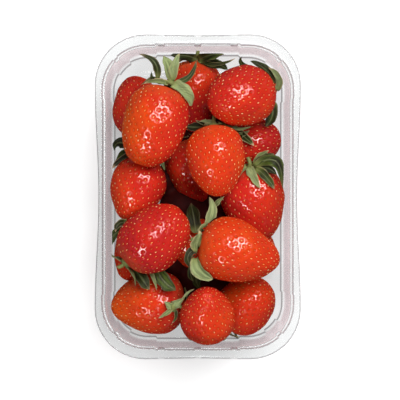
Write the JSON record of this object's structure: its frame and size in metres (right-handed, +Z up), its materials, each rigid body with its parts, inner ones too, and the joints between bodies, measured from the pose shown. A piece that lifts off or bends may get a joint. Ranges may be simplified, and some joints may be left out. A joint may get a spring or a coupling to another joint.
{
  "type": "punnet of strawberries",
  "caption": "Open rectangular clear plastic punnet with rounded corners and a flanged rim, filled with fresh strawberries.",
  "frame": {"origin": "centre of the tray's underside, on the surface it stands on", "axes": "+Z up out of the open top, +Y along the tray's long side, +X across it"},
  "size_m": [0.1186, 0.187, 0.0723],
  "materials": {
    "clear_pet": "clear glossy thermoformed sheet",
    "strawberry_skin": "glossy red fruit skin",
    "achene": "satin golden seeds on the skin",
    "calyx_leaf": "matt green leaves of the calyx"
  },
  "bodies": {
    "root": {"punnet_tray": "clear_pet", "strawberry_heap": "strawberry_skin"}
  },
  "joints": []
}
